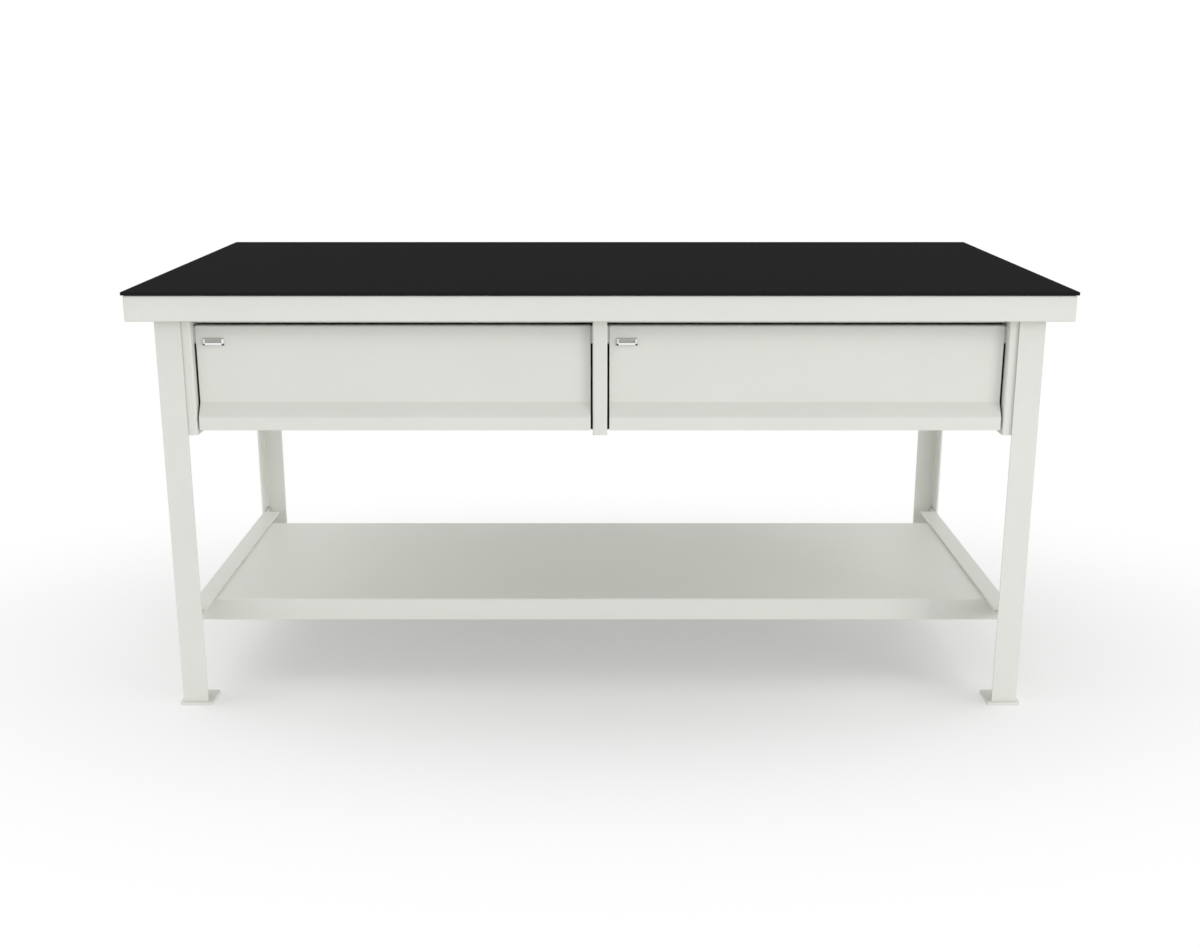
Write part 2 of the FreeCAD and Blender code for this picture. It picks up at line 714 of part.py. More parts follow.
def make_lock_nut(name, lock_x):
    """Hexagon nut that holds the housing from inside the tray."""
    body = new_body(f"lock_nut_{name}")
    flat = size.nut_width / 2
    corner = hypotenuse(flat, flat) * (2.0 / 3.0) ** 0.5
    hexagon = [
        (corner, zero), (corner / 2, flat), (-corner / 2, flat),
        (-corner, zero), (-corner / 2, -flat), (corner / 2, -flat),
    ]
    sketch = new_sketch(body, "XZ_Plane")
    draw_outline(sketch, hexagon)
    draw_circle(sketch, zero, zero, size.barrel_diameter + size.barrel_clearance * 2)
    pad(body, sketch, size.nut_thickness, reverse=True)
    place(body, lock_x, tray_wall_y, lock_height)


def make_lock_plug(name, lock_x):
    """Key plug with a keyway in its face and a tail that carries the cam."""
    body = new_body(f"lock_plug_{name}")
    face = size.bezel_depth - size.window_depth + size.plug_proud
    plug = new_sketch(body, "XZ_Plane", face)
    draw_circle(plug, zero, zero, size.plug_diameter)
    pad(body, plug, face + size.barrel_length + size.cam_gap, reverse=True)
    tail = new_sketch(body, "XZ_Plane")
    draw_circle(tail, zero, zero, size.tail_diameter)
    pad(body, tail, size.barrel_length + size.cam_gap + size.cam_thickness, reverse=True)
    keyway = new_sketch(body, "XZ_Plane", face)
    draw_outline(keyway, centred_rectangle(size.keyway_width, size.keyway_height))
    pocket(body, keyway, size.keyway_depth)
    thread = new_sketch(body, "XZ_Plane", -(size.barrel_length + size.cam_gap + size.cam_thickness))
    draw_circle(thread, zero, zero, size.screw_diameter + size.plug_clearance * 2)
    pocket(body, thread, size.screw_length, reverse=True)
    place(body, lock_x, panel_y, lock_height)


def make_lock_cam(name, lock_x):
    """Flat bar on the plug's tail; it lies level when the drawer is unlocked."""
    body = new_body(f"lock_cam_{name}")
    half = size.cam_width / 2
    arm = new_sketch(body, "XZ_Plane")
    corners = rectangle(-half, -half, size.cam_length, half)
    draw_outline(arm, corners)
    draw_circle(arm, zero, zero, size.tail_diameter + size.plug_clearance * 2)
    pad(body, arm, size.cam_thickness, reverse=True)
    fillet(body, half * 0.9, line_at("xz", *corners))
    place(body, lock_x, cam_front_y, lock_height)


def make_cam_screw(name, lock_x):
    """Pan-head screw into the plug's tail, which holds the cam on."""
    body = new_body(f"cam_screw_{name}")
    head = new_sketch(body, "XZ_Plane")
    draw_circle(head, zero, zero, size.screw_head_diameter)
    pad(body, head, size.screw_head_height, reverse=True)
    rim = size.screw_head_height
    chamfer(body, rim / 3, level_at("y", rim))
    shank = new_sketch(body, "XZ_Plane")
    draw_circle(shank, zero, zero, size.screw_diameter)
    pad(body, shank, size.screw_length - size.cam_gap)
    place(body, lock_x, cam_back_y, lock_height)


# Assembly


def make_table():
    make_surface_sheet()
    make_top_panel()
    make_stiffener("top_stiffener", size.table_depth / 2 - size.top_stiffener_setback, plate_underside)
    for corner in CORNERS:
        make_leg(*corner)
        make_foot(*corner)
    make_stretcher("left", -1, 0)
    make_stretcher("right", 1, 180)
    make_lower_shelf()
    make_stiffener("shelf_stiffener", zero, shelf_top - size.shelf_thickness)
    make_side_hanger("left", -1)
    make_side_hanger("right", 1)
    make_centre_hanger()


def make_drawer(name, side):
    middle_x = opening_middle_x * side
    lock_x = middle_x - front_width / 2 + size.lock_offset
    make_drawer_bay(name, middle_x)
    make_strike(name, middle_x)
    make_drawer_front(name, middle_x)
    make_drawer_tray(name, middle_x)
    make_tray_ends(name, middle_x)
    make_runner(f"{name}_drawer_left", middle_x - opening_width / 2, 1)
    make_runner(f"{name}_drawer_right", middle_x + opening_width / 2, -1)
    make_lock_housing(name, lock_x)
    make_lock_nut(name, lock_x)
    make_lock_plug(name, lock_x)
    make_lock_cam(name, lock_x)
    make_cam_screw(name, lock_x)


def check_document():
    for item in doc.Objects:
        if "Invalid" in item.State or "Error" in item.State:
            raise ValueError(f"{item.Label} failed: {item.State}")
    for body in pieces:
        if body.Shape.isNull() or not body.Shape.isValid():
            raise ValueError(f"{body.Label} has no valid shape")
        if len(body.Shape.Solids) != 1:
            raise ValueError(f"{body.Label} is not one solid")


def write_parts():
    os.makedirs("parts", exist_ok=True)
    for body in pieces:
        body.Shape.exportStep(f"parts/{body.Label}.step")


make_table()
make_drawer("left", -1)
make_drawer("right", 1)
doc.recompute()
check_document()
write_parts()
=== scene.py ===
"""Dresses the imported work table: powder-coated steel, black surface sheet, zinc runners and chrome locks."""
import json
import math

import bmesh
import bpy
from bpy.props import FloatProperty, FloatVectorProperty, IntProperty, PointerProperty
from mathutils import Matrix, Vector

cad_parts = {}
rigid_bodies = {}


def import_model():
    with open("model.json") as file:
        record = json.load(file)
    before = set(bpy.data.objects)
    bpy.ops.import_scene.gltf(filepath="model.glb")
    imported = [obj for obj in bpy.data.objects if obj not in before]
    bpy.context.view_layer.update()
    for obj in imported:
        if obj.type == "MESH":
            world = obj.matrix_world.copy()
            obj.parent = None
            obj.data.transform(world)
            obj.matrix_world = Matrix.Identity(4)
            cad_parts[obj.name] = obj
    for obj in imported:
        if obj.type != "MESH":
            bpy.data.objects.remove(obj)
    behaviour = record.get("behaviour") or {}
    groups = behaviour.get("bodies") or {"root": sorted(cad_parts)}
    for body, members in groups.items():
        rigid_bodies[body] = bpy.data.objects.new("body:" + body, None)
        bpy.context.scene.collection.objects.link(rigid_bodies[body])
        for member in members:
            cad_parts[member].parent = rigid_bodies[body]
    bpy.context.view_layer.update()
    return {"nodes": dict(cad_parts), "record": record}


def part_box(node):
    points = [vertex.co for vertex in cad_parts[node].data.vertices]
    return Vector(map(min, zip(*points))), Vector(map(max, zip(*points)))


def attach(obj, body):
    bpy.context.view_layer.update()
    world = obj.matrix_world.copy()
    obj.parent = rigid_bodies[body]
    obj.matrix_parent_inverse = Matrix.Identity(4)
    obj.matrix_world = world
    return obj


bl_info = {
    "name": "Work Table Finishes",
    "version": (1, 0, 0),
    "blender": (4, 5, 0),
    "location": "View3D > Sidebar > Work Table",
    "description": "Finishes, welds, rivets and runner stops of a steel work table with drawers",
    "category": "Object",
}

for leftover in list(bpy.data.objects):
    bpy.data.objects.remove(leftover)

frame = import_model()
SLOT_OF_NODE = {entry["node"]: entry["material_slot"] for entry in frame["record"]["subparts"]}

LEFT, RIGHT = -1, 1
FRONT, REAR = -1, 1
SIDES = {"left": LEFT, "right": RIGHT}
CORNERS = {
    "front_left": (LEFT, FRONT),
    "front_right": (RIGHT, FRONT),
    "rear_right": (RIGHT, REAR),
    "rear_left": (LEFT, REAR),
}
UP, DOWN = Vector((0, 0, 1)), Vector((0, 0, -1))


class PaintSettings(bpy.types.PropertyGroup):
    """Powder coat on the sheet steel and the angles."""

    color: FloatVectorProperty(
        name="Paint", description="Off-white powder coat", subtype="COLOR", size=3, min=0, max=1,
        default=(0.735, 0.745, 0.695))
    edge_color: FloatVectorProperty(
        name="Thin edges", description="Coat where it runs thin over an edge", subtype="COLOR", size=3,
        min=0, max=1, default=(0.66, 0.665, 0.62))
    roughness: FloatProperty(
        name="Roughness", description="Satin of the coat", subtype="FACTOR", min=0, max=1, default=0.44)
    peel_size: FloatProperty(
        name="Peel size", description="Width of a ripple of the coat", unit="LENGTH", default=0.0024)
    peel_height: FloatProperty(
        name="Peel height", description="Height of a ripple of the coat", unit="LENGTH", default=0.00003)
    edge_width: FloatProperty(
        name="Edge rounding", description="How far the coat rounds an edge", unit="LENGTH", default=0.0009)
    ground_width: FloatProperty(
        name="Ground corners", description="Rounding of the top's welded and ground corners", unit="LENGTH",
        default=0.0032)
    # Painted shade: hollows of the steel get this dark colour in place of the shade that falls into them, over
    # the width below.
    bare_color: FloatVectorProperty(
        name="Bare hollows", description="Steel where no coat reaches into a hollow", subtype="COLOR", size=3,
        min=0, max=1, default=(0.012, 0.012, 0.011))
    bare_width: FloatProperty(
        name="Hollow width", description="Width of the hollows that the coat misses", unit="LENGTH",
        default=0.06)
    # Painted shade: the insides of the drawer bays get the dark hollow colour.
    bay_width: FloatProperty(
        name="Bay width", description="Width of the drawer bays that the coat hardly reaches", unit="LENGTH",
        default=0.2)
    # Painted shade: below the overhang of the top, the drawer fronts and lock strikes get this darker colour
    # in place of its shadow.
    lee_color: FloatVectorProperty(
        name="Lee", description="Thin coat below the overhang of the top", subtype="COLOR", size=3,
        min=0, max=1, default=(0.56, 0.565, 0.53))
    lee_width: FloatProperty(
        name="Lee width", description="How far the overhang shields the drawer fronts", unit="LENGTH",
        default=0.12)


class SheetSettings(bpy.types.PropertyGroup):
    """Black sheet that lies on the steel top."""

    color: FloatVectorProperty(
        name="Sheet", description="Matte black of the surface sheet", subtype="COLOR", size=3, min=0, max=1,
        default=(0.0150, 0.0150, 0.0151))
    scuff_color: FloatVectorProperty(
        name="Scuffs", description="Rubbed grain and cut edges", subtype="COLOR", size=3, min=0, max=1,
        default=(0.024, 0.024, 0.024))
    roughness: FloatProperty(
        name="Roughness", description="Matte of the sheet", subtype="FACTOR", min=0, max=1, default=0.72)
    grain_size: FloatProperty(
        name="Grain size", description="Width of a pebble of the grain", unit="LENGTH", default=0.0011)
    grain_height: FloatProperty(
        name="Grain height", description="Height of the grain", unit="LENGTH", default=0.00006)


class MetalSettings(bpy.types.PropertyGroup):
    """Bare and plated metal of the runners and locks."""

    zinc_color: FloatVectorProperty(
        name="Zinc", description="Plating of the runners", subtype="COLOR", size=3, min=0, max=1,
        default=(0.72, 0.73, 0.74))
    chrome_color: FloatVectorProperty(
        name="Chrome", description="Plating of the lock bezels", subtype="COLOR", size=3, min=0, max=1,
        default=(0.84, 0.84, 0.85))
    # Painted reflection: a matte finish in the bezel windows, coloured as the reflection of the shaded
    # overhang.
    cast_color: FloatVectorProperty(
        name="Cast zinc", description="Unpolished window of the lock bezels", subtype="COLOR", size=3,
        min=0, max=1, default=(0.40, 0.395, 0.35))
    # Painted dark reflection in the lower corners of the bezels.
    corner_color: FloatVectorProperty(
        name="Bezel corners", description="Dark lower corners of the lock bezels", subtype="COLOR", size=3,
        min=0, max=1, default=(0.02, 0.02, 0.02))
    plug_color: FloatVectorProperty(
        name="Key plug", description="Nickel of the key plugs", subtype="COLOR", size=3, min=0, max=1,
        default=(0.46, 0.45, 0.41))
    nylon_color: FloatVectorProperty(
        name="Nylon", description="Stops in the runners", subtype="COLOR", size=3, min=0, max=1,
        default=(0.80, 0.80, 0.76))
    steel_color: FloatVectorProperty(
        name="Lock steel", description="Cams, nuts and screws", subtype="COLOR", size=3, min=0, max=1,
        default=(0.50, 0.50, 0.49))


class FittingSettings(bpy.types.PropertyGroup):
    """Welds and rivets."""

    weld_leg: FloatProperty(
        name="Weld leg", description="Side of a fillet weld on the angles", unit="LENGTH", default=0.0042)
    stitch_leg: FloatProperty(
        name="Stitch leg", description="Side of a stitch weld on sheet steel", unit="LENGTH", default=0.002)
    stitch_length: FloatProperty(
        name="Stitch length", description="Length of a stitch weld", unit="LENGTH", default=0.04)
    ripple_pitch: FloatProperty(
        name="Ripple pitch", description="From one ripple of a weld to the next", unit="LENGTH",
        default=0.0026)
    shelf_stitches: IntProperty(
        name="Shelf stitches", description="Stitch welds along each end of the shelf", default=4, min=2)
    channel_stitches: IntProperty(
        name="Channel stitches", description="Stitch welds along each side of a stiffener", default=6, min=2)
    rivet_radius: FloatProperty(
        name="Rivet radius", description="Head of a runner rivet", unit="LENGTH", default=0.004)
    rivet_height: FloatProperty(
        name="Rivet height", description="Head of a runner rivet", unit="LENGTH", default=0.0016)
    rivets_per_runner: IntProperty(
        name="Rivets", description="Rivets along each runner", default=3, min=2)


class StageSettings(bpy.types.PropertyGroup):
    """Camera, lamps and floor."""

    lens: FloatProperty(
        name="Lens", description="Focal length on a full-frame sensor", unit="CAMERA", default=43.416)
    camera_place: FloatVectorProperty(
        name="Camera", description="Place of the camera", subtype="TRANSLATION", size=3,
        default=(0.0, -3.2142, 1.2509))
    camera_tilt: FloatProperty(
        name="Tilt", description="Camera, below the horizon", subtype="ANGLE", default=math.radians(15.011))
    key_power: FloatProperty(
        name="Key lamp", description="Large soft lamp far to the right of the camera", unit="POWER",
        default=430.0)
    top_power: FloatProperty(
        name="Top lamp", description="Soft lamp above the table", unit="POWER", default=42.0)
    side_power: FloatProperty(
        name="Side lamps", description="Soft lamps beside the ends of the table", unit="POWER", default=25.0)
    horizon_strength: FloatProperty(
        name="Horizon", description="Light from the walls all round", default=1.42, min=0)
    zenith_strength: FloatProperty(
        name="Zenith", description="Light from the ceiling", default=0.42, min=0)
    floor_color: FloatVectorProperty(
        name="Floor", description="Pale floor", subtype="COLOR", size=3, min=0, max=1,
        default=(0.93, 0.93, 0.93))
    floor_radius: FloatProperty(
        name="Floor radius", description="Edge of the floor", unit="LENGTH", default=14.0)
    shadow_reach: FloatProperty(
        name="Shadow reach", description="Where the floor starts to turn white", unit="LENGTH", default=0.45)
    shadow_lift: FloatProperty(
        name="Shadow lift", description="Share of white in the floor's shadow", subtype="FACTOR",
        min=0, max=1, default=0.23)
    white_from: FloatProperty(
        name="White from", description="Where the floor is all white", unit="LENGTH", default=1.3)


class WorkTableSettings(bpy.types.PropertyGroup):
    """All settings of the table."""

    paint: PointerProperty(type=PaintSettings)
    sheet: PointerProperty(type=SheetSettings)
    metal: PointerProperty(type=MetalSettings)
    fitting: PointerProperty(type=FittingSettings)
    stage: PointerProperty(type=StageSettings)


class Graph:
    """A node tree, with short calls that add and join its nodes."""

    def __init__(self, tree):
        self.tree = tree
        self.tree.nodes.clear()

    def feed(self, socket, value):
        """Joins an output to the socket, or sets the socket's own value."""
        if isinstance(value, bpy.types.NodeSocket):
            self.tree.links.new(value, socket)
        else:
            socket.default_value = value

    def add(self, kind, inputs=(), **settings):
        """Adds a node with its settings and inputs."""
        node = self.tree.nodes.new(kind)
        for name, value in settings.items():
            setattr(node, name, value)
        for name, value in dict(inputs).items():
            self.feed(node.inputs[name], value)
        return node

    def effect(self, group, inputs=()):
        """Places a shared node group and gives its outputs."""
        node = self.tree.nodes.new("ShaderNodeGroup")
        node.node_tree = group
        for name, value in dict(inputs).items():
            self.feed(node.inputs[name], value)
        return node.outputs

    def math(self, operation, first, second=0.0):
        """A sum, product or other result of two values."""
        node = self.add("ShaderNodeMath", operation=operation)
        self.feed(node.inputs[0], first)
        self.feed(node.inputs[1], second)
        return node.outputs["Value"]

    def spread(self, value, low, high, start=0.0, stop=1.0):
        """A value from start to stop, spread out from low to high."""
        node = self.add("ShaderNodeMapRange", {
            "Value": value, "From Min": start, "From Max": stop, "To Min": low, "To Max": high})
        return node.outputs["Result"]

    def blend(self, share, first, second):
        """A colour between two others."""
        node = self.add("ShaderNodeMix", data_type="RGBA")
        self.feed(node.inputs[0], share)
        self.feed(node.inputs[6], first)
        self.feed(node.inputs[7], second)
        return node.outputs[2]

    def place(self):
        """Where the surface is, in metres from the foot of the table."""
        return self.add("ShaderNodeTexCoord").outputs["Object"]

    def noise(self, vector, scale, detail=2.0, roughness=0.5):
        """Soft random values at so many per metre."""
        node = self.add("ShaderNodeTexNoise", {
            "Vector": vector, "Scale": scale, "Detail": detail, "Roughness": roughness})
        return node.outputs["Fac"]

    def facing(self):
        """The way that the surface looks, as one value for each axis."""
        normal = self.add("ShaderNodeNewGeometry").outputs["Normal"]
        return self.add("ShaderNodeSeparateXYZ", {"Vector": normal}).outputs

    def relief(self, height, depth, strength, normal):
        """A normal that follows fine heights."""
        node = self.add("ShaderNodeBump", {
            "Strength": strength, "Distance": depth, "Height": height, "Normal": normal})
        return node.outputs["Normal"]


def opaque(color):
    """A colour with its alpha."""
    return (*color, 1.0)


def scaled(color, share):
    """A lighter or darker colour."""
    return tuple(min(1.0, channel * share) for channel in color)


def new_group(name, inputs, outputs):
    """An empty node group with value sockets, its graph, and its input and output nodes."""
    tree = bpy.data.node_groups.new(name, "ShaderNodeTree")
    for label, kind, default in inputs:
        socket = tree.interface.new_socket(name=label, in_out="INPUT", socket_type=kind)
        socket.default_value = default
    for label, kind in outputs:
        tree.interface.new_socket(name=label, in_out="OUTPUT", socket_type=kind)
    graph = Graph(tree)
    return tree, graph, graph.add("NodeGroupInput").outputs, graph.add("NodeGroupOutput").inputs


# Most values of a noise lie in this range.
NOISE_RANGE = (0.3, 0.7)
# Patches per metre.
COAT_PATCHES = 4.5
DUST_PATCHES = 9.0
METAL_CLOUDS = 60.0


def make_coat_ripple():
    """Orange peel of a sprayed coat, and slow changes of its tone."""
    tree, graph, given, result = new_group(
        "Coat Ripple", [("Size", "NodeSocketFloat", 0.002)],
        [("Height", "NodeSocketFloat"), ("Tone", "NodeSocketFloat")])
    place = graph.place()
    ripple = graph.noise(place, graph.math("DIVIDE", 1.0, given["Size"]), detail=1.5)
    graph.feed(result["Height"], ripple)
    graph.feed(result["Tone"], graph.noise(place, COAT_PATCHES, detail=4.0, roughness=0.55))
    return tree


EDGE_SAMPLES = 6
# Cosines of the turns at which an edge is full and at which it ends.
EDGE_TURNS = (0.72, 0.97)


def make_edge_round():
    """A mask along the edges, and normals that round them."""
    tree, graph, given, result = new_group(
        "Edge Round", [("Width", "NodeSocketFloat", 0.001)],
        [("Mask", "NodeSocketFloat"), ("Normal", "NodeSocketVector")])
    rounded = graph.add("ShaderNodeBevel", {"Radius": given["Width"]}, samples=EDGE_SAMPLES).outputs["Normal"]
    flat = graph.add("ShaderNodeNewGeometry").outputs["Normal"]
    turned = graph.add("ShaderNodeVectorMath", operation="DOT_PRODUCT")
    graph.feed(turned.inputs[0], rounded)
    graph.feed(turned.inputs[1], flat)
    graph.feed(result["Mask"], graph.spread(turned.outputs["Value"], 1.0, 0.0, *EDGE_TURNS))
    graph.feed(result["Normal"], rounded)
    return tree


# Upward parts of the normal at which dust starts and at which it is full.
DUST_SLOPES = (0.6, 0.95)
LEAST_DUST = 0.2


def make_settled_dust():
    """A thin patchy film on faces that look up."""
    tree, graph, given, result = new_group(
        "Settled Dust", [("Amount", "NodeSocketFloat", 0.05)], [("Mask", "NodeSocketFloat")])
    level = graph.spread(graph.facing()["Z"], 0.0, 1.0, *DUST_SLOPES)
    cloud = graph.noise(graph.place(), DUST_PATCHES, detail=6.0, roughness=0.6)
    patches = graph.spread(cloud, LEAST_DUST, 1.0, *NOISE_RANGE)
    film = graph.math("MULTIPLY", level, patches)
    graph.feed(result["Mask"], graph.math("MULTIPLY", film, given["Amount"]))
    return tree


SHELTER_SAMPLES = 8
# Open shares at which a mask is full and at which it ends.
RECESS_SHARES = (0.12, 0.40)
OVERHANG_SHADE_SHARES = (0.08, 0.34)
OVERHANG_SHADE_DIRECTION = {"X": 0.0, "Y": -0.3, "Z": 0.95}


def make_recess():
    """A mask of hollows that are deep for their width."""
    tree, graph, given, result = new_group(
        "Recess", [("Width", "NodeSocketFloat", 0.004)], [("Mask", "NodeSocketFloat")])
    view = graph.add(
        "ShaderNodeAmbientOcclusion", {"Distance": given["Width"]}, samples=SHELTER_SAMPLES)
    graph.feed(result["Mask"], graph.spread(view.outputs["AO"], 1.0, 0.0, *RECESS_SHARES))
    return tree


def make_lee():
    """A mask of painted shade, where an overhang shields from above."""
    tree, graph, given, result = new_group(
        "Lee", [("Width", "NodeSocketFloat", 0.03)], [("Mask", "NodeSocketFloat")])
    above = graph.add("ShaderNodeCombineXYZ", OVERHANG_SHADE_DIRECTION).outputs["Vector"]
    view = graph.add(
        "ShaderNodeAmbientOcclusion", {"Distance": given["Width"], "Normal": above}, samples=SHELTER_SAMPLES)
    graph.feed(result["Mask"], graph.spread(view.outputs["AO"], 1.0, 0.0, *OVERHANG_SHADE_SHARES))
    return tree


def make_drawn_grain():
    """Fine streaks along the way that metal was drawn or rubbed."""
    tree, graph, given, result = new_group(
        "Drawn Grain", [("Streaks", "NodeSocketVector", (900.0, 20.0, 900.0))],
        [("Streak", "NodeSocketFloat"), ("Cloud", "NodeSocketFloat")])
    stretched = graph.add("ShaderNodeVectorMath", operation="MULTIPLY")
    graph.feed(stretched.inputs[0], graph.place())
    graph.feed(stretched.inputs[1], given["Streaks"])
    graph.feed(result["Streak"], graph.noise(stretched.outputs["Vector"], 1.0, detail=3.0))
    graph.feed(result["Cloud"], graph.noise(graph.place(), METAL_CLOUDS, detail=3.0))
    return tree


def shared(maker):
    """A node group that is built once, on its first use."""
    name = maker.__name__.removeprefix("make_").replace("_", " ").title()
    return bpy.data.node_groups.get(name) or maker()


def new_material(name, **constants):
    """A material with its graph and its shader, whose plain values are set on the shader itself."""
    material = bpy.data.materials.new(name)
    material.use_nodes = True
    graph = Graph(material.node_tree)
    shader = graph.add("ShaderNodeBsdfPrincipled")
    for label, value in constants.items():
        shader.inputs[label.replace("_", " ")].default_value = value
    output = graph.add("ShaderNodeOutputMaterial")
    graph.feed(output.inputs["Surface"], shader.outputs["BSDF"])
    return material, graph, shader.inputs


DUST_COLOR = (0.60, 0.60, 0.56)
PAINT_DUST = 0.10
PAINT_TONES = (0.985, 1.012)
PAINT_THINNING = 0.45
SATIN_SPREAD = 0.05
DUST_ROUGHNESS = 0.5


def paint_material(name, paint, edge_width, shelter, shelter_width, painted_shade_color):
    """Satin powder coat with a fine ripple, thin on edges, with painted shade in hollows and below overhangs,
    a little dusty on top.
    """
    material, graph, shader = new_material(name, IOR=1.48)
    coat = graph.effect(shared(make_coat_ripple), {"Size": paint.peel_size})
    edge = graph.effect(shared(make_edge_round), {"Width": edge_width})
    painted_shade = graph.effect(shared(shelter), {"Width": shelter_width})
    dust = graph.effect(shared(make_settled_dust), {"Amount": PAINT_DUST})
    tone = graph.spread(coat["Tone"], 0.0, 1.0, *NOISE_RANGE)
    darker, lighter = (opaque(scaled(paint.color, share)) for share in PAINT_TONES)
    color = graph.blend(tone, darker, lighter)
    thin = graph.math("MULTIPLY", edge["Mask"], PAINT_THINNING)
    color = graph.blend(thin, color, opaque(paint.edge_color))
    color = graph.blend(dust["Mask"], color, opaque(DUST_COLOR))
    # Painted shade where the mask of hollows or of the overhang is full.
    graph.feed(shader["Base Color"], graph.blend(painted_shade["Mask"], color, opaque(painted_shade_color)))
    smooth, rough = paint.roughness - SATIN_SPREAD, paint.roughness + SATIN_SPREAD
    satin = graph.spread(coat["Height"], smooth, rough, *NOISE_RANGE)
    dusty = graph.math("MULTIPLY", dust["Mask"], DUST_ROUGHNESS)
    graph.feed(shader["Roughness"], graph.math("ADD", satin, dusty))
    graph.feed(shader["Normal"], graph.relief(coat["Height"], paint.peel_height, 1.0, edge["Normal"]))
    return material


SHEET_DUST_COLOR = (0.30, 0.29, 0.27)
SHEET_DUST = 0.002
SHEET_EDGE = 0.0012
# Heights of the grain at which rubbing starts and at which it is full.
RUBBED_HEIGHTS = (0.55, 0.75)
GRAIN_WEAR = 0.35
EDGE_WEAR = 0.5
MATTE_SPREAD = 0.07


def sheet_material(sheet):
    """Matte black sheet with a pebbled grain and faintly rubbed high spots."""
    material, graph, shader = new_material("black_sheet", Specular_IOR_Level=0.001)
    coat = graph.effect(shared(make_coat_ripple), {"Size": sheet.grain_size})
    edge = graph.effect(shared(make_edge_round), {"Width": SHEET_EDGE})
    dust = graph.effect(shared(make_settled_dust), {"Amount": SHEET_DUST})
    rubbed = graph.math("MULTIPLY", graph.spread(coat["Height"], 0.0, 1.0, *RUBBED_HEIGHTS), GRAIN_WEAR)
    worn = graph.math("MAXIMUM", rubbed, graph.math("MULTIPLY", edge["Mask"], EDGE_WEAR))
    color = graph.blend(worn, opaque(sheet.color), opaque(sheet.scuff_color))
    graph.feed(shader["Base Color"], graph.blend(dust["Mask"], color, opaque(SHEET_DUST_COLOR)))
    smooth, rough = sheet.roughness - MATTE_SPREAD, sheet.roughness + MATTE_SPREAD
    graph.feed(shader["Roughness"], graph.spread(coat["Height"], smooth, rough, *NOISE_RANGE))
    graph.feed(shader["Normal"], graph.relief(coat["Height"], sheet.grain_height, 1.0, edge["Normal"]))
    return material


NYLON_GRAIN = 0.0006
NYLON_EDGE = 0.0003
NYLON_SHADE = 0.96
NYLON_ROUGHNESS = (0.42, 0.52)
NYLON_RELIEF = 0.5
FINE_RELIEF = 0.00002


def nylon_material(color):
    """Moulded nylon with a soft grain that lets a little light in."""
    material, graph, shader = new_material("nylon", Subsurface_Weight=0.15, Subsurface_Scale=0.002)
    coat = graph.effect(shared(make_coat_ripple), {"Size": NYLON_GRAIN})
    edge = graph.effect(shared(make_edge_round), {"Width": NYLON_EDGE})
    tone = graph.spread(coat["Height"], 0.0, 1.0, *NOISE_RANGE)
    graph.feed(shader["Base Color"], graph.blend(tone, opaque(scaled(color, NYLON_SHADE)), opaque(color)))
    graph.feed(shader["Roughness"], graph.spread(tone, *NYLON_ROUGHNESS))
    graph.feed(shader["Normal"], graph.relief(coat["Height"], FINE_RELIEF, NYLON_RELIEF, edge["Normal"]))
    return material


PLATED_EDGE = 0.0004
PLATED_HOLLOW = 0.004
# Painted shade: the share of the colour that hollows darken towards.
HOLLOW_SHADE = 0.35
HOLLOW_SHADE_AND_DULLNESS = 0.3
HOLLOW_ROUGHNESS = 0.4
EDGE_SHINE = 1.15
EDGE_RUB = 0.4
# Shares of a plating's roughness, from its smooth streaks to its rough ones.
STREAK_ROUGHNESS = (0.75, 1.35)
STREAK_RELIEF = 0.4


def plated_material(name, color, roughness, streaks, contrast, metallic=1.0):
    """Plated or drawn metal with streaks and clouds, brighter on edges, rougher and with painted shade in
    hollows.
    """
    material, graph, shader = new_material(name, Metallic=metallic)
    grain = graph.effect(shared(make_drawn_grain), {"Streaks": streaks})
    edge = graph.effect(shared(make_edge_round), {"Width": PLATED_EDGE})
    hollow = graph.effect(shared(make_recess), {"Width": PLATED_HOLLOW})["Mask"]
    cloud = graph.spread(grain["Cloud"], 0.0, 1.0, *NOISE_RANGE)
    tinted = graph.blend(cloud, opaque(scaled(color, 1 - contrast)), opaque(scaled(color, 1 + contrast)))
    rubbed = graph.math("MULTIPLY", edge["Mask"], EDGE_RUB)
    tinted = graph.blend(rubbed, tinted, opaque(scaled(color, EDGE_SHINE)))
    # Painted shade and roughness in the hollows.
    dull_and_shaded = graph.math("MULTIPLY", hollow, HOLLOW_SHADE_AND_DULLNESS)
    graph.feed(shader["Base Color"], graph.blend(dull_and_shaded, tinted, opaque(scaled(color, HOLLOW_SHADE))))
    smooth, rough = (roughness * share for share in STREAK_ROUGHNESS)
    shine = graph.spread(grain["Streak"], smooth, rough, *NOISE_RANGE)
    matte = graph.math("MULTIPLY", dull_and_shaded, HOLLOW_ROUGHNESS)
    graph.feed(shader["Roughness"], graph.math("ADD", shine, matte))
    graph.feed(shader["Normal"], graph.relief(grain["Streak"], FINE_RELIEF, STREAK_RELIEF, edge["Normal"]))
    return material


BEZEL_STREAKS = (120, 900, 900)
BEZEL_ROUGHNESS = (0.07, 0.14)
BEZEL_CORNER = 0.0038
WINDOW_DEPTH = 0.0024
# The window's floor looks at least this much to the front.
WINDOW_FACING = -0.9
CAST_ROUGHNESS = 0.4
CAST_DULLNESS = 0.8


